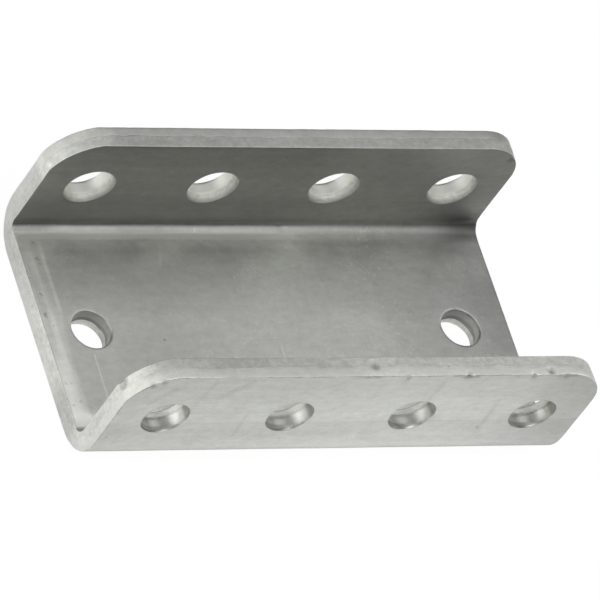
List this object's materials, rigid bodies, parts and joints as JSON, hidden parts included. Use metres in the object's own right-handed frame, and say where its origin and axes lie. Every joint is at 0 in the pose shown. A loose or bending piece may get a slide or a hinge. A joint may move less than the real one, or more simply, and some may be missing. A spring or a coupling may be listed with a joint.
{
  "type": "adjustable channel bracket",
  "caption": "Folded plate channel with rows of bolt holes in both flanges for setting height, and bolt holes in its web.",
  "frame": {"origin": "middle of the footprint, on the underside of the web", "axes": "+X along the channel, +Y across it from flange to flange, +Z out of its open mouth"},
  "size_m": [0.195, 0.107, 0.0582],
  "materials": {
    "bare_steel": "satin, lightly scuffed mill surface"
  },
  "bodies": {
    "root": {"channel_bracket": "bare_steel"}
  },
  "joints": []
}
